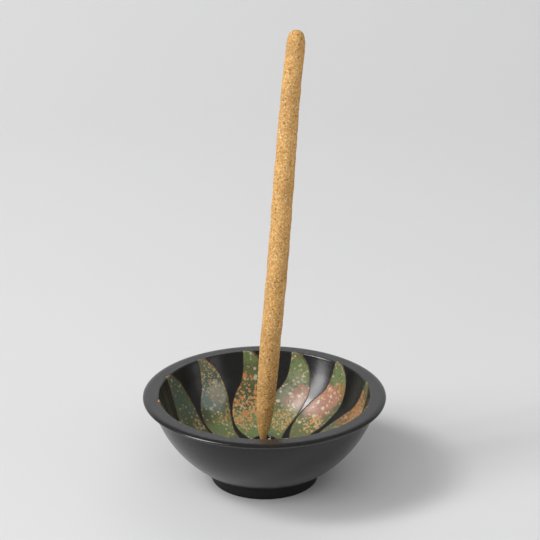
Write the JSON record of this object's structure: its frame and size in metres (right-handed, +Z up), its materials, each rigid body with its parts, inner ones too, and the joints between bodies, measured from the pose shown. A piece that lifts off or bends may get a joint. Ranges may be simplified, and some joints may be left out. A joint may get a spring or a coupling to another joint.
{
  "type": "incense burner",
  "caption": "Small round footed bowl with a broad lip, inlaid flame petals inside and a raised central socket that holds a thick hand-rolled incense stick.",
  "frame": {"origin": "centre of the foot ring on the table", "axes": "+Z up along the bowl's axis, +X towards the side the stick leans to, +Y away from the viewer"},
  "size_m": [0.084, 0.084, 0.1592],
  "materials": {
    "black_clay": "black clay, burnished to a satin sheen",
    "petal_slip": "green, teal and pink speckled slip",
    "socket_glaze": "black clay, polished",
    "incense_paste": "granular rolled incense paste, matt"
  },
  "bodies": {
    "bowl_body": {"bowl": "black_clay", "petal_inlay_01": "petal_slip", "petal_inlay_02": "petal_slip", "petal_inlay_03": "petal_slip", "petal_inlay_04": "petal_slip", "petal_inlay_05": "petal_slip", "petal_inlay_06": "petal_slip", "petal_inlay_07": "petal_slip", "petal_inlay_08": "petal_slip", "petal_inlay_09": "petal_slip", "petal_inlay_10": "petal_slip", "petal_inlay_11": "petal_slip", "petal_inlay_12": "petal_slip", "stick_socket": "socket_glaze"},
    "stick_body": {"incense_stick": "incense_paste"}
  },
  "joints": [
    {"name": "stick_lift", "type": "slide", "parent": "bowl_body", "child": "stick_body", "axis": [0.0668, 0, 0.9978], "range_m": [0, 0.032]}
  ]
}
